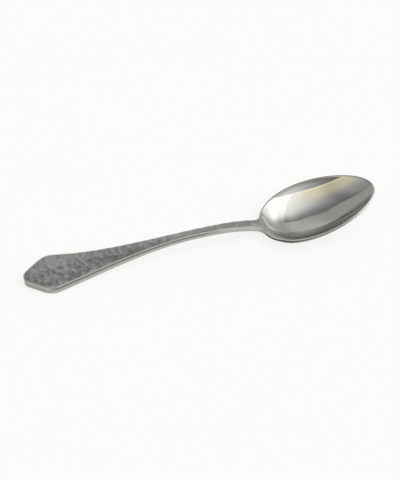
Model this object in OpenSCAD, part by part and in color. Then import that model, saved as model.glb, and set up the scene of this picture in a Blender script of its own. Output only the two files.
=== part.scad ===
// Dessert spoon: one piece of stainless steel, with a hammered handle and a polished egg-shaped bowl.
// X runs along the spoon, from the nose of the handle at -X to the tip of the bowl at +X.
// The origin lies on the table under the middle of the spoon: the flat under the handle's end
// and the belly of the bowl both touch Z = 0.

/* [Handle plan] */
// Length of the whole spoon, from the nose of the handle to the tip of the bowl
spoon_l = 185; // [175:1:200]
// Width across the shoulders of the handle's end, at the sharp corners before rounding
end_w = 24.4; // [20:0.2:28]
// Distance from the nose to the shoulders
shoulder_x = 12.3; // [9:0.1:16]
// Width of the blunt nose, at the sharp corners before rounding
nose_w = 4.8; // [4:0.1:8]
// How far the rounding reaches each way from a corner of the nose
nose_round = 2.2; // [1:0.1:2.4]
// How far the rounding reaches each way from a shoulder
shoulder_round = 5; // [2:0.1:7]
// Length over which the handle narrows behind the shoulders
taper_l = 77; // [60:1:85]
// Width of the neck at its narrowest
neck_w = 4.4; // [3.6:0.1:8]
// Width that the neck gains where it flares into the bowl
flare_w = 1.8; // [0:0.1:4]
// Length of that flare
flare_l = 28; // [15:1:32]
// How far the fillet between neck and bowl reaches each way from their corner
heel_fillet = 2; // [1:0.1:3]

/* [Handle section] */
// Thickness of the handle
handle_t = 3.2; // [2.6:0.1:4]
// Rounding of the upper edge, round the hammered face
edge_r = 0.7; // [0.4:0.05:0.9]
// Rounding of the lower edge
under_r = 0.9; // [0.4:0.05:1.2]
// How far the hammered face stands up along its middle, at the shoulders
crown_h = 0.5; // [0:0.05:1]

/* [Side profile] */
// Length of the flat under the handle's end, which rests on the table
foot_l = 11; // [6:1:20]
// Height of the handle's upper face at the top of its arch
arch_h = 10.7; // [8:0.1:16]
// Distance from the nose to the top of the arch
arch_x = 93; // [75:1:100]
// Steepness of the fall from the arch to the bowl
fall_power = 2.7; // [2:0.1:3.5]
// Tilt of the bowl's rim, tip up, in degrees
rim_tilt = 12; // [6:0.5:14]
// How far the neck stands above the rim where it meets the bowl
neck_rise = 1.6; // [0.5:0.1:2.5]
// Softness of the hollow between the neck's edge and the rim
heel_blend = 1.5; // [0.5:0.1:3]

/* [Bowl] */
// Length of the bowl
bowl_l = 61.4; // [54:0.2:68]
// Width of the bowl, as an ellipse before the egg shape is added
bowl_w = 38.4; // [34:0.2:44]
// Egg shape: the share by which the bowl is wider towards the neck than at its middle
bowl_egg = 0.11; // [0:0.01:0.2]
// Depth of the bowl's inside below its rim
bowl_depth = 8.2; // [6:0.1:10]
// Wall of the bowl at its bottom
bowl_wall = 1.6; // [1.2:0.1:2.4]
// Width of the rim, from the cavity's edge to the outline
rim_w = 1; // [0.8:0.1:1.8]
// Height of the rim's outer edge
rim_t = 1.2; // [1:0.1:2]
// Distance from the neck to the deepest part of the bowl
slope_l = 28; // [20:1:34]
// Distance from the deepest part of the bowl to its tip
tip_l = 21; // [16:1:26]
// Fullness of the section across the bowl: 2 is a parabola, and more is squarer
side_power = 2.4; // [2:0.1:3]
// Fullness of the section towards the tip
tip_power = 2; // [1.6:0.1:2.6]

/* [Hammered face] */
// Distance between neighbouring hammer marks
dent_pitch = 3.6; // [2.8:0.1:6]
// Depth of a hammer mark
dent_depth = 0.2; // [0.05:0.01:0.35]
// Share of a cell by which the marks stray from a regular grid
dent_stray = 0.8; // [0:0.05:1]

/* [Hidden] */

// Steps along each stretch of the outline, and across each surface
corner_steps = 3;
slant_steps = 4;
shoulder_steps = 7;
taper_step = 1.35;
fillet_steps = 4;
bowl_steps = 44;
face_steps = 8;
under_steps = 4;

// Radius of a hammer mark, in cells, and how much the marks differ in depth
dent_reach = 0.95;
dent_spread = 0.6;
// Length over which the hammering dies out before the bowl
dent_fade = 3;
// Rounding of the rim's upper and lower edges, as shares of its height
rim_upper = 0.45;
rim_under = 0.3;
// Angle round the bowl over which the handle's edge thins to the rim
thin_angle = 75;
// How far the underside starts to swell ahead of the neck's end, and stops short of the deepest part
swell_ahead = 8;
swell_short = 4;
// Where the fan of sections round the nose starts, and the angle where the one round the tip does
nose_fan = 6;
tip_fan = 75;

// The bowl is laid out by an angle from 0 at the neck to 180 at the tip
bowl_a = bowl_l / 2;
bowl_x = spoon_l - bowl_a;
heel_x = spoon_l - bowl_l;
rim_slope = tan(rim_tilt);

function lerp(a, b, t) = a + (b - a) * t;
function clamp(t) = min(max(t, 0), 1);
function ease(t) = let (c = clamp(t)) c * c * (3 - 2 * c);
function smooth_max(a, b, k) = max(a, b) + pow(max(k - abs(a - b), 0), 2) / (4 * k);
function unit(v) = v / norm(v);

// Quadratic curve that rounds the corner b, between a and c
function rounded(a, b, c, steps) = [
    for (k = [0:steps])
        let (t = k / steps)
        pow(1 - t, 2) * a + 2 * t * (1 - t) * b + t * t * c
];

// Half width of the handle at x: a parabola behind the shoulders, then the neck and its flare
function handle_half(x) =
    neck_w / 2
    + (end_w - neck_w) / 2 * pow(clamp(1 - (x - shoulder_x) / taper_l), 2)
    + flare_w / 2 * pow(max((x - heel_x + flare_l) / flare_l, 0), 2);

// Point of the bowl's egg-shaped outline at an angle
function egg(angle) = [
    bowl_x - bowl_a * cos(angle),
    bowl_w / 2 * sin(angle) * (1 + bowl_egg * cos(angle))
];

// Angle at which the egg leaves the neck, found by halving
function neck_angle(low = 0, high = 60, left = 30) =
    let (mid = (low + high) / 2, p = egg(mid))
    left == 0 ? mid
    : p.y > handle_half(p.x) ? neck_angle(low, mid, left - 1)
    : neck_angle(mid, high, left - 1);

// Outline of one side, as [x, y, angle]: the angle is 0 along the handle
nose_corner = [0, nose_w / 2];
shoulder = [shoulder_x, end_w / 2];
slant = unit(shoulder - nose_corner);
slant_start = nose_corner + slant * nose_round;
slant_end = shoulder - slant * shoulder_round;
taper_x = shoulder_x + shoulder_round;
join_angle = neck_angle();
join = egg(join_angle);
fillet_x = join.x - heel_fillet;
egg_start = join_angle + heel_fillet / norm(egg(join_angle + 1) - join);
taper_steps = ceil((fillet_x - taper_x) / taper_step);

nose_round_points = rounded([0, nose_w / 2 - nose_round], nose_corner, slant_start, corner_steps);
slant_points = [
    for (k = [1:slant_steps - 1])
        lerp(slant_start, slant_end, k / slant_steps)
];
shoulder_points = rounded(slant_end, shoulder, [taper_x, handle_half(taper_x)], shoulder_steps);
taper_points = [
    for (k = [1:taper_steps])
        let (x = lerp(taper_x, fillet_x, k / taper_steps))
        [x, handle_half(x)]
];
fillet_points = rounded([fillet_x, handle_half(fillet_x)], join, egg(egg_start), fillet_steps);
end_points = concat([[0, 0]], nose_round_points, slant_points, shoulder_points);
handle_points = concat(end_points, taper_points, [for (k = [1:fillet_steps - 1]) fillet_points[k]]);
bowl_angles = [for (k = [0:bowl_steps]) lerp(egg_start, 180, k / bowl_steps)];
outline = concat(
    [for (p = handle_points) [p.x, p.y, 0]],
    [for (angle = bowl_angles) let (p = egg(angle)) [p.x, abs(p.y) < 1e-9 ? 0 : p.y, angle]]
);
end_count = len(end_points);
last = len(outline) - 1;

// Outward direction of the outline at each station, square to the axis at both ends
function outward(i) =
    i == 0 ? [-1, 0]
    : i == last ? [1, 0]
    : let (d = outline[i + 1] - outline[i - 1]) unit([-d.y, d.x]);

// Where each station's section meets the middle line: the sections fan out at the nose and the tip
function middle_x(i) =
    let (p = outline[i])
    i < end_count ? lerp(nose_fan, outline[end_count - 1].x, i / (end_count - 1))
    : p[2] > tip_fan ? lerp(egg(tip_fan).x, spoon_l - tip_l, (p[2] - tip_fan) / (180 - tip_fan))
    : p.x;

// How far a station has gone over from the handle's edge to the bowl's rim
function rim_share(i) = ease((outline[i][2] - egg_start) / thin_angle);

// Depth of the bowl's inside along its middle, and of the underside below the upper edge
function floor_depth(x) = bowl_depth * (1 - pow(1 - clamp((x - heel_x) / slope_l), 2));
function belly_depth(x) =
    let (swell_l = swell_ahead + slope_l - swell_short)
    lerp(handle_t, bowl_depth + bowl_wall, ease((x - heel_x + swell_ahead) / swell_l));

// Height of the rim over the middle of the bowl, which sets the belly on the table
rim_h = -min([
    for (x = [heel_x + 6:0.5:bowl_x + bowl_a - tip_l])
        (x - bowl_x) * rim_slope - belly_depth(x)
]);
neck_h = rim_h - bowl_a * rim_slope + neck_rise;

// Height of the upper edge along the spoon: foot, arch, fall to the neck, and the tilted rim
function edge_h(x) =
    let (
        rise = clamp((x - foot_l) / (arch_x - foot_l)),
        fall = max((x - arch_x) / (heel_x - arch_x), 0),
        handle_h = handle_t + (arch_h - handle_t) * (1 - cos(180 * rise)) / 2,
        fall_h = (arch_h - neck_h) * pow(fall, fall_power)
    )
    smooth_max(handle_h - fall_h, rim_h + (x - bowl_x) * rim_slope, heel_blend);

// Fullness of the bowl's section at a station
function fullness(i) =
    let (angle = outline[i][2])
    angle > 90 ? lerp(side_power, tip_power, pow(cos(angle), 2)) : side_power;

// Repeatable random share from 0 to 1 for a cell
function share(a, b, seed) =
    let (v = sin(a * 127.1 + b * 311.7 + seed * 74.7) * 43758.5453)
    v - floor(v);

// Depth of one hammer mark, a shallow dish about a point near the middle of its cell
function mark(x, y, a, b) =
    let (
        cx = (a + 0.5 + dent_stray * (share(a, b, 1) - 0.5)) * dent_pitch,
        cy = (b + dent_stray * (share(a, b, 2) - 0.5)) * dent_pitch,
        r = dent_pitch * dent_reach,
        strength = 1 + dent_spread * (2 * share(a, b, 3) - 1)
    )
    dent_depth * strength * max(1 - (pow(x - cx, 2) + pow(y - cy, 2)) / (r * r), 0);

// Depth of the hammering at a point: the deepest of the marks round it
function hammering(x, y) =
    let (
        a = floor(x / dent_pitch),
        b = round(y / dent_pitch),
        fade = ease((heel_x - x) / dent_fade)
    )
    fade == 0 ? 0 : fade * max([for (i = [-1:1], j = [-1:1]) mark(x, y, a + i, b + j)]);

// Point at an inset from the outline of side +1 or -1, at a height below the upper edge
function edge_point(i, side, inset, drop) =
    let (p = [outline[i].x, outline[i].y] - outward(i) * inset)
    [p.x, side * p.y, edge_h(p.x) - drop];

// Point of the upper face: v is 0 on the middle line and 1 at the edge of the face
function face_point(i, side, v) =
    let (
        inset = lerp(edge_r, rim_w, rim_share(i)),
        p = [outline[i].x, outline[i].y] - outward(i) * inset,
        m = middle_x(i),
        x = lerp(m, p.x, v),
        y = side * p.y * v,
        hollow = floor_depth(m) * (1 - pow(v, fullness(i))),
        crown = m < heel_x ? crown_h * (1 - v * v) * pow(p.y / (end_w / 2), 2) : 0
    )
    [x, y, edge_h(x) + crown - hollow - (m < heel_x ? hammering(x, y) : 0)];

// Point of the underside: v is 0 on the middle line and 1 at the lower edge
function under_point(i, side, v) =
    let (
        share = rim_share(i),
        inset = lerp(under_r, rim_t * rim_under, share),
        p = [outline[i].x, outline[i].y] - outward(i) * inset,
        m = middle_x(i),
        x = lerp(m, p.x, v),
        edge_t = lerp(handle_t, rim_t, share),
        belly = (belly_depth(m) - edge_t) * (1 - pow(v, fullness(i)))
    )
    [x, side * p.y * v, edge_h(x) - edge_t - belly];

// One point of the closed skin. Level 0 is the middle line of the upper face, and the levels run
// out over the face, round the edge and back under the spoon to the middle line below.
face_levels = face_steps + 1;
edge_levels = 4;
levels = face_levels + edge_levels + under_steps + 1;
diagonal = 1 - cos(45);
function skin_point(level, i, side) =
    let (
        share = rim_share(i),
        edge_t = lerp(handle_t, rim_t, share),
        inset = lerp(edge_r, rim_w, share),
        upper = lerp(edge_r, rim_t * rim_upper, share),
        lower = lerp(under_r, rim_t * rim_under, share)
    )
    level < face_levels ? face_point(i, side, level / face_steps)
    : level == face_levels ? edge_point(i, side, inset * diagonal, upper * diagonal)
    : level == face_levels + 1 ? edge_point(i, side, 0, upper)
    : level == face_levels + 2 ? edge_point(i, side, 0, edge_t - lower)
    : level == face_levels + 3 ? edge_point(i, side, lower * diagonal, edge_t - lower * diagonal)
    : under_point(i, side, (levels - 1 - level) / under_steps);

// Round the spoon: out along the left side to the tip, and back along the right side
around = 2 * last;
function station(j) = j <= last ? j : around - j;
function is_middle(level) = level == 0 || level == levels - 1;
function row_start(level) = level == 0 ? 0 : last + 1 + (level - 1) * around;
function index(level, j) =
    row_start(level) + (is_middle(level) ? station(j % around) : j % around);

module spoon() {
    points = [
        for (level = [0:levels - 1], j = [0:is_middle(level) ? last : around - 1])
            skin_point(level, station(j), j <= last ? 1 : -1)
    ];
    faces = [
        for (level = [0:levels - 2], j = [0:around - 1])
            let (
                a = index(level, j),
                b = index(level, j + 1),
                c = index(level + 1, j + 1),
                d = index(level + 1, j),
                upper = level < levels / 2,
                nose_half = station(j) < last / 2
            )
            each (j < last) == (upper == nose_half) ? [[a, d, c], [a, c, b]] : [[a, d, b], [b, d, c]]
    ];
    color("#b3b3ae")
        translate([-spoon_l / 2, 0, 0])
            polyhedron(points = points, faces = faces, convexity = 6);
}

spoon();
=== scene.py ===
"""Looks of a one-piece dessert spoon of stainless steel: a hammered handle and a mirror-polished bowl."""

import math

import bpy
import numpy as np
from mathutils import Matrix, Vector


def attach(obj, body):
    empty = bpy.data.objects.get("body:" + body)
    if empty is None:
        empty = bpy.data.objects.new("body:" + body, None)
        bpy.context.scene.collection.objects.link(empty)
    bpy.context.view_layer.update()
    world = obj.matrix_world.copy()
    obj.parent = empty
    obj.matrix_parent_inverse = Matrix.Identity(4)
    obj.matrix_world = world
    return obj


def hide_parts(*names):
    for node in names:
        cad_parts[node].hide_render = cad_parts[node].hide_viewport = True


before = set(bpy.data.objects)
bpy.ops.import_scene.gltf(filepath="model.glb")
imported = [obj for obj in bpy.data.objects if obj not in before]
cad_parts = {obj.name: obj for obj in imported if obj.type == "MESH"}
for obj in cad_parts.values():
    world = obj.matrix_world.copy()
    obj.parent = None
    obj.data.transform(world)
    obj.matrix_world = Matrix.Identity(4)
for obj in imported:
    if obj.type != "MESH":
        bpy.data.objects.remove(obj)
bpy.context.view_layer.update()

MM = 0.001

# Sizes of the spoon in millimetres. X runs from the nose of the handle, at 0, to the tip of the bowl.
SPOON_L = 185.0
END_W = 24.4
SHOULDER_X = 12.3
NOSE_W = 4.8
NOSE_ROUND = 2.2
SHOULDER_ROUND = 5.0
TAPER_L = 77.0
NECK_W = 4.4
FLARE_W = 1.8
FLARE_L = 28.0
HEEL_FILLET = 3.2
CREASE_L = 1.6
HANDLE_T = 3.5
END_T = 4.4
EDGE_R = 0.5
EDGE_DROP = 0.8
UNDER_R = 0.5
CROWN_H = 0.6
FOOT_L = 11.0
ARCH_H = 11.25
ARCH_X = 93.0
NECK_RISE = 1.6
HEEL_BLEND = 1.5
BOWL_L = 61.4
BOWL_W = 38.4
BOWL_DEPTH = 8.0
BOWL_WALL = 1.6
BELLY_AHEAD = 6.0
RIM_W = 0.8
RIM_T = 1.3
HEEL_LIP = 0.4
HEEL_PARE = 0.8
SLOPE_L = 22.8
TIP_L = 21.0
SWELL_AHEAD = 8.0
SWELL_SHORT = 3.4
NOSE_FAN = 6.0

# Sizes of the hammer marks in millimetres: large ones, with finer ones over them
DENT_PITCH = 3.1
DENT_DEPTH = 0.15
FINE_PITCH = 1.7
FINE_DEPTH = 0.05
DENT_FADE = 3.0

# Shares of the marks' pitch and depth, and of the rim's thickness
DENT_STRAY = 0.8
DENT_REACH = 0.95
DENT_SPREAD = 0.6
RIM_UPPER = 0.45
RIM_UNDER = 0.3

# Bends of the curves, as powers or as a share of the bowl's width
FALL_POWER = 2.7
BOWL_EGG = 0.11
HEEL_POWER = 2.8
TOE_POWER = 2.5
SIDE_POWER = 2.65
HEEL_SIDE_POWER = 1.9
TIP_POWER = 2.05

# Angles in degrees: the rim's tilt, and how far round the bowl its sections change
RIM_TILT = 12.0
WIDEST_NECK_ANGLE = 60.0
THIN_ANGLE = 122.0
LIP_ANGLE = 30.0
HEEL_ANGLE = 75.0
SIDE_ANGLE = 90.0
FAN_START = 30.0
FAN_END = 120.0

# Spans over which a form or a shade comes or goes: where each starts and how long it is. Those in
# millimetres run along the spoon, and those in degrees run round the bowl, from the neck or from its start.
PARE_COMES_MM = (123.0, 4.0)
PARE_GOES_MM = (129.0, 7.0)
# Towards the neck the painted shade line under the handle's edge fades and the hammered face's duller colour
# lightens a little.
NECK_SHINE_MM = (88.0, 22.0)
LIP_COMES_DEG = (-6.0, 10.0)
LIP_GOES_DEG = (8.0, 26.0)
# The dark rim line is painted shade, standing in for a dark reflection along the bowl's rim.
DARK_RIM_COMES_DEG = (15.0, 25.0)
DARK_RIM_GOES_DEG = (100.0, 35.0)
# The dark heel shade is painted, standing in for the dark reflection on the bowl's outer wall at the heel.
DARK_HEEL_FADES_DEG = (25.0, 20.0)
DARK_HEEL_GOES_DEG = (100.0, 30.0)

# Shares of the shades that the skin carries: painted shade on the walls and in dark lines, standing in for
# dark reflections, and how much of the hammered face's duller colour goes towards the neck
FLAT_WALL_SHADE = 0.45
NOSE_WALL_SHADE = 0.5
NOSE_LINE_SHADE = 0.5
NOSE_TURN = 0.5
NECK_EDGE_SHADE_LOSS = 0.9
NECK_DULL_LOSS = 0.15
WALL_EDGE_SHADE = 0.6
DARK_RIM = 0.8
DARK_SIDE = 0.4

BOWL_A = BOWL_L / 2
BOWL_X = SPOON_L - BOWL_A
HEEL_X = SPOON_L - BOWL_L
CREASE_X = HEEL_X + CREASE_L
DEEP_X = CREASE_X + SLOPE_L
TOE_L = SPOON_L - RIM_W - DEEP_X
RIM_SLOPE = math.tan(math.radians(RIM_TILT))

# Steps of the mesh along the outline and across each surface
CORNER_STEPS = 8
SLANT_STEPS = 18
SHOULDER_STEPS = 18
TAPER_STEP = 0.3
FILLET_STEPS = 10
BOWL_STEPS = 150
FACE_STEPS = 36
EDGE_STEPS = 6
WALL_STEPS = 4
UNDER_STEPS = 14
DARK_FACE_STEPS = 3

# Steps of the sums that find a point or a slope
HALVINGS = 30
SLOPE_STEP = 0.01
BELLY_STEP = 0.5

# The camera stands off the middle of the spoon: angles in degrees, lens and film in millimetres, the rest
# in metres
CAMERA_AZIMUTH = -15.8
CAMERA_ELEVATION = 46.93
CAMERA_ROLL = -0.22
CAMERA_DISTANCE = 0.5119
CAMERA_TARGET = Vector((-0.0015, -0.00067, 0.005))
CAMERA_CLIP = 0.01
CAMERA_LENS = 75.0
CAMERA_FILM = 36.0

FLOOR_HALF = 12.0
FLOOR_LEVEL = 0.25
FLOOR_GLOW = 0.775


def ease(t):
    """Smooth share from 0 to 1."""
    t = np.clip(t, 0, 1)
    return t * t * (3 - 2 * t)


def over(t, span):
    """Smooth share of a span, its start and its length, that t has passed."""
    start, length = span
    return ease((t - start) / length)


def mix(a, b, t):
    return a + (b - a) * t


def smooth_max(a, b, k):
    """The larger of two heights, with the corner between them rounded over k."""
    return np.maximum(a, b) + np.maximum(k - np.abs(a - b), 0) ** 2 / (4 * k)


def rounded(a, b, c, steps):
    """Quadratic curve that rounds the corner b, between a and c."""
    t = np.linspace(0, 1, steps + 1)[:, None]
    return (1 - t) ** 2 * np.array(a) + 2 * t * (1 - t) * np.array(b) + t * t * np.array(c)


def handle_half(x):
    """Half width of the handle: a parabola behind the shoulders, then the neck and its flare."""
    taper = np.clip(1 - (x - SHOULDER_X) / TAPER_L, 0, 1) ** 2
    flare = np.maximum((x - HEEL_X + FLARE_L) / FLARE_L, 0) ** 2
    return NECK_W / 2 + (END_W - NECK_W) / 2 * taper + FLARE_W / 2 * flare


def handle_t(x):
    """Thickness of the handle, which thins from its end to the crown of the arch."""
    return mix(END_T, HANDLE_T, ease((x - FOOT_L) / (ARCH_X - FOOT_L)))


def egg(angle):
    """Point of the bowl's egg-shaped outline at an angle, which is 0 at the neck and 180 at the tip."""
    a = np.radians(angle)
    y = BOWL_W / 2 * np.sin(a) * (1 + BOWL_EGG * np.cos(a))
    return np.stack([BOWL_X - BOWL_A * np.cos(a), y], -1)


def neck_angle():
    """Angle at which the egg leaves the neck, found by halving."""
    low = 0.0
    high = WIDEST_NECK_ANGLE
    for _ in range(HALVINGS):
        mid = (low + high) / 2
        x, y = egg(mid)
        if y > handle_half(x):
            high = mid
        else:
            low = mid
    return (low + high) / 2


def outline():
    """One side's outline as x and y, with the angle round the bowl, the points in the handle's end counted,
    and the angle at which the bowl starts."""
    nose = np.array([0, NOSE_W / 2])
    shoulder = np.array([SHOULDER_X, END_W / 2])
    slant = (shoulder - nose) / np.linalg.norm(shoulder - nose)
    slant_start = nose + slant * NOSE_ROUND
    slant_end = shoulder - slant * SHOULDER_ROUND
    taper_x = SHOULDER_X + SHOULDER_ROUND
    start = neck_angle()
    join = egg(start)
    fillet_x = join[0] - HEEL_FILLET
    degree_l = np.linalg.norm(egg(start + 1) - join)
    egg_start = start + HEEL_FILLET / degree_l
    nose_points = rounded([0, NOSE_W / 2 - NOSE_ROUND], nose, slant_start, CORNER_STEPS)
    t = np.linspace(0, 1, SLANT_STEPS + 1)[1:-1, None]
    slant_points = mix(slant_start, slant_end, t)
    shoulder_points = rounded(slant_end, shoulder, [taper_x, handle_half(taper_x)], SHOULDER_STEPS)
    steps = math.ceil((fillet_x - taper_x) / TAPER_STEP)
    x = np.linspace(taper_x, fillet_x, steps + 1)[1:]
    taper_points = np.stack([x, handle_half(x)], -1)
    fillet = rounded([fillet_x, handle_half(fillet_x)], join, egg(egg_start), FILLET_STEPS)[1:-1]
    end = np.concatenate([[[0, 0]], nose_points, slant_points, shoulder_points])
    handle = np.concatenate([end, taper_points, fillet])
    angles = np.linspace(egg_start, 180, BOWL_STEPS + 1)
    xy = np.concatenate([handle, egg(angles)])
    xy[-1, 1] = 0
    angle = np.concatenate([np.zeros(len(handle)), angles])
    return xy, angle, len(end), egg_start


def floor_depth(x):
    """Depth of the bowl's inside along its middle line."""
    heel = np.clip((DEEP_X - x) / SLOPE_L, 0, 1) ** HEEL_POWER
    toe = np.clip((x - DEEP_X) / TOE_L, 0, 1) ** TOE_POWER
    return BOWL_DEPTH * (1 - heel - toe)


def belly_depth(x):
    """Depth of the underside along its middle line, below the upper edge."""
    swell = ease((x - CREASE_X + SWELL_AHEAD) / (SWELL_AHEAD + SLOPE_L - SWELL_SHORT))
    full = BOWL_WALL + np.where(x < DEEP_X, BOWL_DEPTH, floor_depth(x))
    return mix(handle_t(x), full, swell)


def hollowed(depth, middle, reach, power, v, base=0.0):
    """Depth at v along sections from the middle line, which carry its slope with them where they fan out."""
    fall = (depth(middle + SLOPE_STEP) - depth(middle - SLOPE_STEP)) / (2 * SLOPE_STEP)
    bend = v ** power
    return (depth(middle) - base) * (1 - bend) + fall * reach * (v - bend)


def rim_height():
    """Height of the rim over the middle of the bowl, which sets the belly on the table."""
    x = np.arange(CREASE_X + BELLY_AHEAD, SPOON_L - TIP_L, BELLY_STEP)
    return -np.min((x - BOWL_X) * RIM_SLOPE - belly_depth(x))


RIM_H = rim_height()
NECK_H = RIM_H - BOWL_A * RIM_SLOPE + NECK_RISE


def edge_h(x):
    """Height of the upper edge: foot, arch, fall to the neck, and the tilted rim."""
    rise = np.clip((x - FOOT_L) / (ARCH_X - FOOT_L), 0, 1)
    fall = np.maximum((x - ARCH_X) / (HEEL_X - ARCH_X), 0)
    handle_h = mix(END_T, ARCH_H, (1 - np.cos(np.pi * rise)) / 2)
    fall_h = (ARCH_H - NECK_H) * fall ** FALL_POWER
    return smooth_max(handle_h - fall_h, RIM_H + (x - BOWL_X) * RIM_SLOPE, HEEL_BLEND)


def share(a, b, seed):
    """Repeatable random share from 0 to 1 for a cell: the far decimals of a sine of its three numbers."""
    v = np.sin(np.radians(a * 127.1 + b * 311.7 + seed * 74.7)) * 43758.5453
    return v - np.floor(v)


def marks(x, y, pitch, depth):
    """Depth of one set of hammer marks at a point: the deepest of the shallow dishes round it."""
    a = np.floor(x / pitch)
    b = np.floor(y / pitch + 0.5)
    reach = pitch * DENT_REACH
    deepest = np.zeros_like(x)
    for i in (-1, 0, 1):
        for j in (-1, 0, 1):
            cx = (a + i + 0.5 + DENT_STRAY * (share(a + i, b + j, 1) - 0.5)) * pitch
            cy = (b + j + DENT_STRAY * (share(a + i, b + j, 2) - 0.5)) * pitch
            strength = 1 + DENT_SPREAD * (2 * share(a + i, b + j, 3) - 1)
            dish = 1 - ((x - cx) ** 2 + (y - cy) ** 2) / reach ** 2
            deepest = np.maximum(deepest, depth * strength * dish)
    return deepest


def hammering(x, y):
    """Depth of the hammering: large marks with finer ones over them, which die out before the bowl."""
    both = marks(x, y, DENT_PITCH, DENT_DEPTH) + marks(x, y, FINE_PITCH, FINE_DEPTH)
    return both * ease((CREASE_X - x) / DENT_FADE)


def outward(xy):
    """Outward direction of the outline at each station, along the spoon at both ends."""
    d = np.concatenate([xy[1:2] - xy[:1], xy[2:] - xy[:-2], xy[-1:] - xy[-2:-1]])
    out = np.stack([-d[:, 1], d[:, 0]], -1)
    out /= np.linalg.norm(out, axis=1)[:, None]
    out[0] = (-1, 0)
    out[-1] = (1, 0)
    return out


def middle_line(xy, angle, end_count):
    """Where each station's section meets the middle line: the sections fan out at the nose and the tip."""
    middle = xy[:, 0].copy()
    middle[:end_count] = np.linspace(NOSE_FAN, xy[end_count - 1, 0], end_count)
    fan = angle > FAN_START
    reach = mix(BOWL_A, BOWL_A - TIP_L, ease((angle[fan] - FAN_START) / (FAN_END - FAN_START)))
    middle[fan] = BOWL_X - reach * np.cos(np.radians(angle[fan]))
    return middle


class Stations:
    """The outline's stations, with the sizes and the shades of the section at each."""

    def __init__(self):
        self.xy, self.angle, end_count, egg_start = outline()
        self.x = self.xy[:, 0]
        self.out = outward(self.xy)
        self.middle = middle_line(self.xy, self.angle, end_count)
        self.turn = self.angle - egg_start
        self.in_bowl = self.angle > 0
        self.on_handle = self.middle < CREASE_X
        self.none = np.zeros(len(self.xy))
        self.set_sizes()
        self.set_shades()

    def set_sizes(self):
        """Thickness at the edge, width and drops of its roundings, and the power of the hollow's bend."""
        pared = HEEL_PARE * over(self.x, PARE_COMES_MM) * (1 - over(self.x, PARE_GOES_MM))
        self.edge_t = mix(handle_t(self.x), RIM_T, ease(self.turn / THIN_ANGLE)) - pared
        lip = ease(self.turn / LIP_ANGLE)
        heel = over(self.turn, LIP_COMES_DEG) * (1 - over(self.turn, LIP_GOES_DEG))
        self.inset = mix(EDGE_R, RIM_W, lip) + HEEL_LIP * np.where(self.in_bowl, heel, 0)
        self.upper = mix(EDGE_DROP, RIM_T * RIM_UPPER, lip)
        self.lower = mix(UNDER_R, RIM_T * RIM_UNDER, lip)
        side_power = mix(HEEL_SIDE_POWER, SIDE_POWER, ease(self.turn / HEEL_ANGLE))
        tip = np.where(self.angle > SIDE_ANGLE, np.cos(np.radians(self.angle)) ** 2, 0)
        self.power = mix(side_power, TIP_POWER, tip)

    def set_shades(self):
        """Painted shade of the wall and painted dark lines, in place of dark reflections: under the handle's
        edge, at the nose and on the bowl.
        """
        nose_turn = np.clip(-self.out[:, 0], 0, 1)
        # Painted shade line under the handle's edge, standing in for a dark reflection: it goes at the nose
        # and fades towards the neck.
        along = (1 - ease(nose_turn / NOSE_TURN)) * (1 - NECK_EDGE_SHADE_LOSS * over(self.x, NECK_SHINE_MM))
        # Painted shade: the walls are darkened in their colour, more at the nose, in place of dark
        # reflections.
        self.wall = np.where(self.in_bowl, 1.0, FLAT_WALL_SHADE + NOSE_WALL_SHADE * nose_turn)
        self.edge_shade = np.where(self.in_bowl, 0.0, along)
        # Painted shade line on the nose's edge, in place of a darker reflection there.
        self.nose = np.where(self.in_bowl, 0.0, NOSE_LINE_SHADE * nose_turn)
        # Painted dark line along the bowl's rim, standing in for a dark reflection.
        rim_end = 1 - over(self.angle, DARK_RIM_GOES_DEG)
        self.dark_rim = DARK_RIM * over(self.turn, DARK_RIM_COMES_DEG) * rim_end
        # Painted dark shade on the bowl's outer wall, strongest at the heel, standing in for a dark
        # reflection.
        heel_end = 1 - over(self.angle, DARK_HEEL_GOES_DEG)
        heel = mix(1, DARK_SIDE, over(self.turn, DARK_HEEL_FADES_DEG)) * heel_end
        self.dark_heel = np.where(self.in_bowl, heel, 0.0)

    def inside(self, distance):
        """The outline moved inwards by a distance at each station."""
        return self.xy - self.out * distance[:, None]

    def reach(self, edge):
        """How far ahead of the middle line's point the section's end at the edge lies, in the bowl."""
        return np.where(self.in_bowl, edge[:, 0] - self.middle, 0)

    def level(self, x, y, z, hammered=None, hollow=None, edge=None, wall=None, line=None):
        """One level of points with its five shades, which are 0 where none is given."""
        shades = [self.none if shade is None else shade for shade in (hammered, hollow, edge, wall, line)]
        return np.stack([x, y, z, *shades], -1)

    def face_levels(self, side):
        """The upper face, from the middle out: the handle's hammered crown and the bowl's hollow."""
        levels = []
        end = self.inside(self.inset)
        across = np.hypot(end[:, 0] - self.middle, end[:, 1])
        reach = self.reach(end)
        for v in np.linspace(0, 1, FACE_STEPS + 1):
            x = mix(self.middle, end[:, 0], v)
            y = side * (end[:, 1] * v)
            hollow = np.where(self.on_handle, 0, hollowed(floor_depth, self.middle, reach, self.power, v))
            crown = np.where(self.on_handle, CROWN_H * (1 - v * v) * across / (END_W / 2), 0)
            dents = np.where(self.on_handle, hammering(x, y), 0)
            face = ease((CREASE_X - x) / DENT_FADE)
            dull = face * (1 - NECK_DULL_LOSS * over(x, NECK_SHINE_MM))
            edge = self.none + (v == 1)
            # Painted dark line along the rim's inner edge, over the last few face levels.
            line = self.dark_rim * max(0, 1 - (1 - v) * FACE_STEPS / DARK_FACE_STEPS)
            z = edge_h(x) + crown - hollow - dents
            levels.append(self.level(x, y, z, dull, 1 - face, edge, line=line))
        return levels

    def edge_levels(self, side):
        """The rounded upper edge."""
        levels = []
        for k in range(1, EDGE_STEPS + 1):
            t = math.radians(90 * k / EDGE_STEPS)
            q = self.inside(self.inset * (1 - math.sin(t)))
            z = edge_h(q[:, 0]) - self.upper * (1 - math.cos(t))
            last_two = k >= EDGE_STEPS - 1
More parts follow.
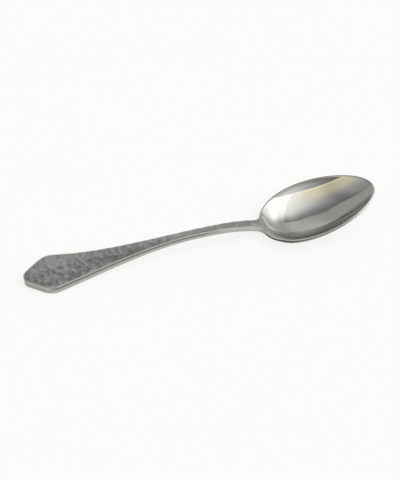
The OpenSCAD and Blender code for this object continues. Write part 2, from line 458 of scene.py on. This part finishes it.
            # Painted shade lines: under the handle's edge, on the nose's edge and along the bowl's rim.
            line = self.edge_shade * last_two + self.nose * (k > 1) + self.dark_rim * (not last_two)
            levels.append(self.level(q[:, 0], side * q[:, 1], z, edge=self.none + 1, line=line))
        return levels

    def wall_levels(self, side):
        """The upright wall below the upper edge."""
        levels = []
        for k in range(1, WALL_STEPS + 1):
            drop = mix(self.upper, self.edge_t - self.lower, k / WALL_STEPS)
            z = edge_h(self.x) - drop
            # Painted shade: the line under the handle's edge on the top wall level, and the dark shade on
            # the bowl's heel.
            line = self.edge_shade * (k == 1) * WALL_EDGE_SHADE + self.dark_heel
            levels.append(self.level(self.x, side * self.xy[:, 1], z, wall=self.wall, line=line))
        return levels

    def lower_edge_levels(self, side):
        """The rounded lower edge."""
        levels = []
        for k in range(1, EDGE_STEPS):
            t = math.radians(90 * k / EDGE_STEPS)
            q = self.inside(self.lower * (1 - math.cos(t)))
            z = edge_h(q[:, 0]) - self.edge_t + self.lower * (1 - math.sin(t))
            # The painted dark shade of the heel goes on round the lower edge.
            levels.append(self.level(q[:, 0], side * q[:, 1], z, wall=self.wall, line=self.dark_heel))
        return levels

    def under_levels(self, side):
        """The smooth underside, from its edge back to the middle."""
        levels = []
        end = self.inside(self.lower)
        reach = self.reach(end)
        for v in np.linspace(1, 0, UNDER_STEPS + 1):
            x = mix(self.middle, end[:, 0], v)
            belly = hollowed(belly_depth, self.middle, reach, self.power, v, self.edge_t)
            levels.append(self.level(x, side * (end[:, 1] * v), edge_h(x) - self.edge_t - belly))
        return levels

    def levels(self, side):
        """All levels of one side, 1 or -1, from the middle of the upper face round to the middle below."""
        upper = self.face_levels(side) + self.edge_levels(side) + self.wall_levels(side)
        return np.array(upper + self.lower_edge_levels(side) + self.under_levels(side))


def closed_skin():
    """Points and quads of the closed skin: each level is a ring round the spoon, or a line in the middle."""
    stations = Stations()
    left = stations.levels(1)
    right = stations.levels(-1)
    count = len(left)
    last = left.shape[1] - 1
    points = []
    rings = []
    start = 0
    for k in range(count):
        if k in (0, count - 1):
            points.append(left[k])
            ring = np.concatenate([np.arange(last + 1), np.arange(last - 1, 0, -1)])
        else:
            points.append(np.concatenate([left[k], right[k][-2:0:-1]]))
            ring = np.arange(2 * last)
        rings.append(ring + start)
        start += len(points[-1])
    rings = np.array(rings)
    ahead = np.roll(rings, -1, axis=1)
    quads = np.stack([ahead[:-1], ahead[1:], rings[1:], rings[:-1]], -1).reshape(-1, 4)
    return np.concatenate(points), quads


class Graph:
    """Short calls for adding nodes to a shader tree."""

    def __init__(self, tree):
        self.tree = tree
        tree.nodes.clear()

    def add(self, kind, **settings):
        node = self.tree.nodes.new(kind)
        for name, value in settings.items():
            setattr(node, name, value)
        return node

    def put(self, socket, value):
        """Links an output to a socket, or sets the socket to a constant."""
        if isinstance(value, bpy.types.NodeSocket):
            self.tree.links.new(value, socket)
        else:
            socket.default_value = value

    def math(self, operation, a, b, clamp=False):
        node = self.add("ShaderNodeMath", operation=operation, use_clamp=clamp)
        self.put(node.inputs[0], a)
        self.put(node.inputs[1], b)
        return node.outputs[0]

    def plus(self, a, b):
        return self.math("ADD", a, b)

    def times(self, a, b):
        return self.math("MULTIPLY", a, b)

    def dot(self, vector, direction):
        node = self.add("ShaderNodeVectorMath", operation="DOT_PRODUCT")
        self.put(node.inputs[0], vector)
        node.inputs[1].default_value = direction
        return node.outputs["Value"]

    def mask(self, name):
        """A shade that the mesh carries at its points."""
        return self.add("ShaderNodeAttribute", attribute_name=name).outputs["Fac"]

    def ramp(self, value, start, end, low=0.0, high=1.0, smooth=True):
        """Maps value from start..end to low..high, held at both ends."""
        kind = "SMOOTHSTEP" if smooth else "LINEAR"
        node = self.add("ShaderNodeMapRange", interpolation_type=kind, clamp=True)
        for name, number in (("From Min", start), ("From Max", end), ("To Min", low), ("To Max", high)):
            self.put(node.inputs[name], number)
        self.put(node.inputs["Value"], value)
        return node.outputs["Result"]

    def blend(self, factor, a, b, kind="MIX"):
        node = self.add("ShaderNodeMix", data_type="RGBA", blend_type=kind)
        colours = [s for s in node.inputs if s.type == "RGBA"]
        self.put(node.inputs["Factor"], factor)
        self.put(colours[0], a)
        self.put(colours[1], b)
        return [s for s in node.outputs if s.type == "RGBA"][0]

    def noise(self, vector, scale, detail, roughness=0.5, stretch=(1, 1, 1)):
        mapping = self.add("ShaderNodeMapping")
        self.put(mapping.inputs["Vector"], vector)
        mapping.inputs["Scale"].default_value = stretch
        node = self.add("ShaderNodeTexNoise")
        self.put(node.inputs["Vector"], mapping.outputs[0])
        node.inputs["Scale"].default_value = scale
        node.inputs["Detail"].default_value = detail
        node.inputs["Roughness"].default_value = roughness
        return node.outputs["Fac"]


def grey(level, tint=(1.0, 1.0, 1.0)):
    return (level * tint[0], level * tint[1], level * tint[2], 1.0)


# Names of the shades that the skin's points carry, in their order
MASKS = ("hammered", "hollow", "edge", "wall", "line")

# Colours of the steel. Those in pairs are the ends of a slow change across the surface.
POLISHED = (grey(0.60, (1.0, 1.005, 0.95)), grey(0.63, (1.0, 1.0, 0.95)))
HAMMERED = (grey(0.42, (0.98, 1.0, 0.95)), grey(0.48, (0.99, 1.0, 0.94)))
WORN_EDGE = grey(0.66, (1.0, 1.0, 0.94))
# Painted shade: the walls' darker colour stands in for dark reflections of the studio.
PAINTED_WALL_SHADE = grey(0.24, (1.0, 1.0, 0.86))
# Painted shade: the colour of the dark lines, which stand in for dark reflections along the handle's edge,
# the nose and the bowl's rim and heel.
PAINTED_LINE_SHADE = grey(0.08, (1.0, 1.0, 0.9))

# How much of the worn edges' colour and of the painted shade lines' colour shows
WORN_SHARE = 0.5
LINE_SHARE = 0.9

# Noises over the steel, in waves a metre, with the scratches drawn out along the spoon
CLOUDS = {"scale": 90, "detail": 3}
STAIN = {"scale": 260, "detail": 4}
GRAIN = {"scale": 900, "detail": 3}
SCRATCHES = {"scale": 260, "detail": 5, "roughness": 0.7, "stretch": (1, 9, 9)}

# Spans of those noises over which the colour changes
CLOUD_SPAN = (0.35, 0.65)
STAIN_SPAN = (0.38, 0.66)

# Spans over which the roughness changes, and from what to what
PLAIN_ROUGH = (0.3, 0.7, 0.10, 0.16)
SATIN_ROUGH = (0.3, 0.7, 0.11, 0.17)
MIRROR_ROUGH = (0.4, 0.75, 0.05, 0.08)

# Relief of the scratches and the grain, in metres for the depth
BUMP_STRENGTH = 0.12
BUMP_DEPTH = 0.00004
SCRATCH_RELIEF = 0.25
GRAIN_RELIEF = 0.5


def steel_colour(g, place, masks):
    """Base colour: clouded polish, a duller hammered face, worn edges, and painted shade: darker walls and
    dark lines in place of dark reflections.
    """
    colour = g.blend(g.ramp(g.noise(place, **CLOUDS), *CLOUD_SPAN), *POLISHED)
    dull = g.blend(g.ramp(g.noise(place, **STAIN), *STAIN_SPAN), *HAMMERED)
    colour = g.blend(masks["hammered"], colour, dull)
    colour = g.blend(g.times(masks["edge"], WORN_SHARE), colour, WORN_EDGE)
    # Painted shade: the walls and the dark lines are darkened in the colour itself, in place of dark
    # reflections.
    colour = g.blend(masks["wall"], colour, PAINTED_WALL_SHADE)
    return g.blend(g.times(masks["line"], LINE_SHARE), colour, PAINTED_LINE_SHADE)


def steel_material():
    """Stainless steel: a mirror in the bowl, a satin sheen on the hammered face, and brighter worn edges."""
    material = bpy.data.materials.new("spoon_steel")
    material.use_nodes = True
    g = Graph(material.node_tree)
    place = g.add("ShaderNodeTexCoord").outputs["Object"]
    masks = {name: g.mask(name) for name in MASKS}
    hammered = masks["hammered"]
    hollow = masks["hollow"]
    grain = g.noise(place, **GRAIN)
    scratches = g.noise(place, **SCRATCHES)

    plain = g.ramp(scratches, *PLAIN_ROUGH)
    satin = g.ramp(grain, *SATIN_ROUGH)
    mirror = g.ramp(scratches, *MIRROR_ROUGH)
    rough = g.plus(g.times(hammered, satin), g.times(hollow, mirror))
    rest = g.math("SUBTRACT", g.math("SUBTRACT", 1.0, hammered), hollow, clamp=True)
    rough = g.plus(rough, g.times(rest, plain))

    fine = g.times(g.math("SUBTRACT", 1.0, hollow), grain)
    height = g.plus(g.times(scratches, SCRATCH_RELIEF), g.times(fine, GRAIN_RELIEF))
    bump = g.add("ShaderNodeBump")
    bump.inputs["Strength"].default_value = BUMP_STRENGTH
    bump.inputs["Distance"].default_value = BUMP_DEPTH
    g.put(bump.inputs["Height"], height)

    shader = g.add("ShaderNodeBsdfPrincipled")
    shader.inputs["Metallic"].default_value = 1.0
    g.put(shader.inputs["Base Color"], steel_colour(g, place, masks))
    g.put(shader.inputs["Roughness"], rough)
    g.put(shader.inputs["Normal"], bump.outputs["Normal"])
    output = g.add("ShaderNodeOutputMaterial")
    g.put(output.inputs["Surface"], shader.outputs["BSDF"])
    return material


def make_spoon():
    """The whole spoon as one closed mesh, in the CAD node's place."""
    points, quads = closed_skin()
    place = points[:, :3].copy()
    place[:, 0] -= SPOON_L / 2
    mesh = bpy.data.meshes.new("spoon_body")
    mesh.from_pydata((place * MM).tolist(), [], quads.tolist())
    mesh.polygons.foreach_set("use_smooth", [True] * len(mesh.polygons))
    for column, name in enumerate(MASKS, start=3):
        mask = mesh.attributes.new(name, "FLOAT", "POINT")
        mask.data.foreach_set("value", points[:, column].astype(np.float32))
    mesh.update()
    mesh.materials.append(steel_material())
    spoon = bpy.data.objects.new("spoon_body", mesh)
    bpy.context.scene.collection.objects.link(spoon)
    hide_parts("spoon")
    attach(spoon, "root")


def make_floor():
    """A plain pale floor, which glows a little so that shadows on it stay faint."""
    mesh = bpy.data.meshes.new("floor")
    h = FLOOR_HALF
    mesh.from_pydata([(-h, -h, 0), (h, -h, 0), (h, h, 0), (-h, h, 0)], [], [(0, 1, 2, 3)])
    material = bpy.data.materials.new("floor_pale")
    material.use_nodes = True
    g = Graph(material.node_tree)
    shader = g.add("ShaderNodeBsdfPrincipled")
    shader.inputs["Base Color"].default_value = grey(FLOOR_LEVEL)
    shader.inputs["Roughness"].default_value = 1.0
    shader.inputs["Specular IOR Level"].default_value = 0.0
    shader.inputs["Emission Color"].default_value = grey(1.0)
    shader.inputs["Emission Strength"].default_value = FLOOR_GLOW
    output = g.add("ShaderNodeOutputMaterial")
    g.put(output.inputs["Surface"], shader.outputs["BSDF"])
    mesh.materials.append(material)
    floor = bpy.data.objects.new("floor", mesh)
    bpy.context.scene.collection.objects.link(floor)


# The studio round the spoon: a bright ceiling that fades towards the back and the left, between a grey
# backdrop behind it and a darker front, with a brighter panel on the right. Each straight edge is the
# plane through the spoon that is square to a direction.
BACK_EDGE = (-0.258, -0.759, 0.598)
FRONT_EDGE = (0.163, 0.791, 0.589)
PANEL_EDGE = (0.963, -0.119, -0.243)
WARM = (1.14, 1.05, 0.82)
GOLD = (1.3, 1.0, 0.5)
FRONT_LEVEL = 0.25

# Ramps of the studio. Two numbers are where the ramp starts and ends, as a share from -1 to 1 of the way
# right, away or up, or past an edge. Two more are the brightness, or the edge's shift, at each end.
BACK_BLUR = (-0.02, 0.02)
FRONT_BLUR = (-0.015, 0.015)
PANEL_BLUR = (-0.02, 0.02)
FADE_SHIFT = (0.05, 0.25, 0.075, -0.045)
FADE = (-0.72, 0.05)
FADE_NEAR = (0.0, -0.8, 0.0, 0.25)
GAIN = (-0.58, 0.19, 0.09, 1.12)
FAR_LEFT = (-0.4, -0.56, 0.135, 0.355)
PANEL_LIGHT = (0.5, 0.1, 0.1, 0.28)
GLOW_NEAR = (0.29, -0.23)
GLOW_LEFT = (-0.05, -0.33, 0.0, 0.26)
DIM_RIGHT = (0.66, 0.86, 1.0, 0.55)
WARM_NEAR = (0.25, -0.25)
WARM_LEFT = (0.15, -0.25)
STRIP_NEAR = (0.07, 0.04)
STRIP_LEFT = (0.15, -0.1, 0.0, 0.2)
DIP = (0.4, 0.85, 0.0, 0.14)
DIP_SOFT = (0.4, 0.7, 1.0, 0.25)
HUMP_RISES = (-0.12, -0.36, 0.0, -0.08)
HUMP_ENDS = (-0.36, -0.52, 0.0, 0.08)
BACK_ACROSS = (-0.11, 0.04, 0.44, 0.64)
BACK_LOW = (0.0, 0.37, -0.28, 0.0)
BACK_RIGHT = (0.1, 0.35, 0.0, -0.15)
FRONT_TOP = (0.52, 0.66)
FRONT_TOP_LIGHT = (-0.5, 0.3, 0.25, 1.05)
SPILL = (-0.42, 0.0, 0.0, 0.4)
SPILL_RIGHT = (0.44, 0.66)


def ceiling_light(g, way, right, away, over_front):
    """The ceiling: a broad fade, a panel, a glow on the left, and a warm tone with a golden strip."""
    near = g.math("SUBTRACT", g.ramp(right, *FADE_SHIFT), away)
    fade = g.plus(g.ramp(near, *FADE), g.ramp(away, *FADE_NEAR, smooth=False))
    light = g.plus(g.times(fade, g.ramp(right, *GAIN)), g.ramp(right, *FAR_LEFT))
    panel = g.ramp(g.dot(way, PANEL_EDGE), *PANEL_BLUR)
    light = g.plus(light, g.times(panel, g.ramp(away, *PANEL_LIGHT)))
    light = g.plus(light, g.times(g.ramp(away, *GLOW_NEAR), g.ramp(right, *GLOW_LEFT)))
    light = g.times(light, g.ramp(right, *DIM_RIGHT))
    warmth = g.times(g.ramp(away, *WARM_NEAR), g.ramp(right, *WARM_LEFT))
    light = g.blend(1.0, g.blend(warmth, grey(1.0), grey(1.0, WARM)), light, "MULTIPLY")
    strip = g.times(g.ramp(over_front, *STRIP_NEAR), g.ramp(right, *STRIP_LEFT))
    return g.blend(1.0, light, g.blend(strip, grey(0.0), grey(1.0, GOLD)), "ADD")


def backdrop_edge(g, tilt, right):
    """Above 0 over the backdrop's upper edge, which dips on the right and has a hump on the left."""
    dip = g.times(g.plus(tilt, g.ramp(right, *DIP)), g.ramp(right, *DIP_SOFT))
    hump = g.plus(g.ramp(right, *HUMP_RISES), g.ramp(right, *HUMP_ENDS))
    return g.plus(dip, hump)


def make_studio():
    """What the steel reflects: ceiling, backdrop and front, blended at their edges."""
    world = bpy.data.worlds.new("studio")
    bpy.context.scene.world = world
    world.use_nodes = True
    g = Graph(world.node_tree)
    way = g.add("ShaderNodeTexCoord").outputs["Generated"]
    parts = g.add("ShaderNodeSeparateXYZ")
    g.put(parts.inputs[0], way)
    right, away, up = parts.outputs
    tilt = g.dot(way, BACK_EDGE)
    over_front = g.dot(way, FRONT_EDGE)

    ceiling = ceiling_light(g, way, right, away, over_front)
    back = g.plus(g.ramp(right, *BACK_ACROSS), g.ramp(up, *BACK_LOW))
    back = g.plus(back, g.ramp(right, *BACK_RIGHT))
    front = g.blend(g.ramp(up, *FRONT_TOP), grey(FRONT_LEVEL), g.ramp(right, *FRONT_TOP_LIGHT))
    light = g.blend(g.ramp(backdrop_edge(g, tilt, right), *BACK_BLUR), back, ceiling)
    spill = g.times(g.ramp(tilt, *SPILL, smooth=False), g.ramp(right, *SPILL_RIGHT))
    light = g.blend(1.0, light, spill, "ADD")
    light = g.blend(g.ramp(over_front, *FRONT_BLUR), front, light)

    background = g.add("ShaderNodeBackground")
    g.put(background.inputs["Color"], light)
    output = g.add("ShaderNodeOutputWorld")
    g.put(output.inputs["Surface"], background.outputs[0])


def make_camera():
    """The camera, turned round its own axis by its roll."""
    a = math.radians(CAMERA_AZIMUTH)
    e = math.radians(CAMERA_ELEVATION)
    r = math.radians(CAMERA_ROLL)
    back = Vector((math.sin(a) * math.cos(e), -math.cos(a) * math.cos(e), math.sin(e)))
    right = Vector((math.cos(a), math.sin(a), 0))
    up = back.cross(right)
    tilted_right = right * math.cos(r) + up * math.sin(r)
    tilted_up = up * math.cos(r) - right * math.sin(r)
    place = CAMERA_TARGET + back * CAMERA_DISTANCE
    data = bpy.data.cameras.new("camera")
    data.lens = CAMERA_LENS
    data.sensor_width = CAMERA_FILM
    data.clip_start = CAMERA_CLIP
    camera = bpy.data.objects.new("camera", data)
    bpy.context.scene.collection.objects.link(camera)
    turn = Matrix((tilted_right, tilted_up, back)).transposed()
    camera.matrix_world = Matrix.Translation(place) @ turn.to_4x4()
    bpy.context.scene.camera = camera


make_spoon()
make_floor()
make_studio()
make_camera()
bpy.context.scene.view_settings.view_transform = "Standard"
bpy.context.view_layer.update()
